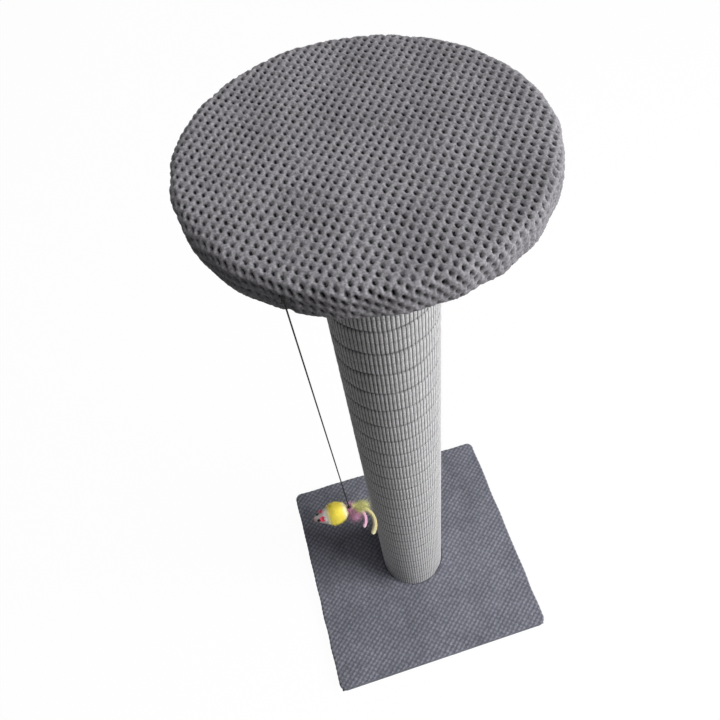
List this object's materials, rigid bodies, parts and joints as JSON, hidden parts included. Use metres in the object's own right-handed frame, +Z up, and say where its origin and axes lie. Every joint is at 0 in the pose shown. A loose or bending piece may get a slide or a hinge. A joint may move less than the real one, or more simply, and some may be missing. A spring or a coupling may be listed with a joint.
{
  "type": "cat scratching post",
  "caption": "Cat scratching post: square plush base, upright post wound with ribbed tape, round padded platform and a toy mouse hung from its rim on a cord.",
  "frame": {"origin": "on the floor, under the middle of the square base", "axes": "+Z up along the post, X and Y along the sides of the base, front towards -Y with the toy at the front left"},
  "size_m": [0.4, 0.4, 1],
  "materials": {
    "platform_plush": "matte honeycomb plush",
    "base_plush": "matte honeycomb plush",
    "ribbed_tape": "matte ribbed woven tape",
    "wadding": "matte fibre wadding",
    "chipboard": "raw pressed board",
    "card_tube": "raw wound card",
    "zinc_steel": "zinc plated",
    "black_cord": "matte braided cord",
    "yellow_plush": "matte short plush",
    "grey_plush": "matte short plush",
    "red_felt": "matte felt",
    "black_bead": "glossy bead",
    "pink_feather": "soft down",
    "yellow_feather": "soft down"
  },
  "bodies": {
    "stand": {"base_board": "chipboard", "base_cover": "base_plush", "base_staples": "zinc_steel", "base_bolt": "zinc_steel", "base_washer": "zinc_steel", "lower_insert_nut": "zinc_steel", "post_tube": "card_tube", "lower_plug": "chipboard", "upper_plug": "chipboard", "plug_screws": "zinc_steel", "post_winding": "ribbed_tape", "upper_insert_nut": "zinc_steel", "top_stud": "zinc_steel", "platform_insert_nut": "zinc_steel", "platform_board": "chipboard", "platform_pad": "wadding", "platform_cover": "platform_plush", "platform_staples": "zinc_steel", "cord_staple": "zinc_steel"},
    "cord_knot": {"cord_top_knot": "black_cord"},
    "cord": {"toy_cord": "black_cord"},
    "toy": {"cord_end_knot": "black_cord", "tail_binding": "pink_feather", "mouse_body": "yellow_plush", "mouse_head": "grey_plush", "mouse_ears": "red_felt", "mouse_eyes": "black_bead", "pink_tuft": "pink_feather", "yellow_tuft": "yellow_feather", "pink_feather": "pink_feather", "yellow_feather": "yellow_feather"}
  },
  "joints": [
    {"name": "toy_swing_out", "type": "hinge", "parent": "stand", "child": "cord_knot", "pos_m": [-0.08857, -0.11969, 0.989], "axis": [-0.8039, 0.5948, 0], "range_deg": [-5, 65]},
    {"name": "toy_swing_side", "type": "hinge", "parent": "cord_knot", "child": "cord", "pos_m": [-0.08857, -0.11969, 0.989], "axis": [-0.5948, -0.8039, 0], "range_deg": [-55, 55]},
    {"name": "toy_spin", "type": "hinge", "parent": "cord", "child": "toy", "pos_m": [-0.08857, -0.11969, 0.6326], "axis": [0, 0, 1], "continuous": true}
  ]
}
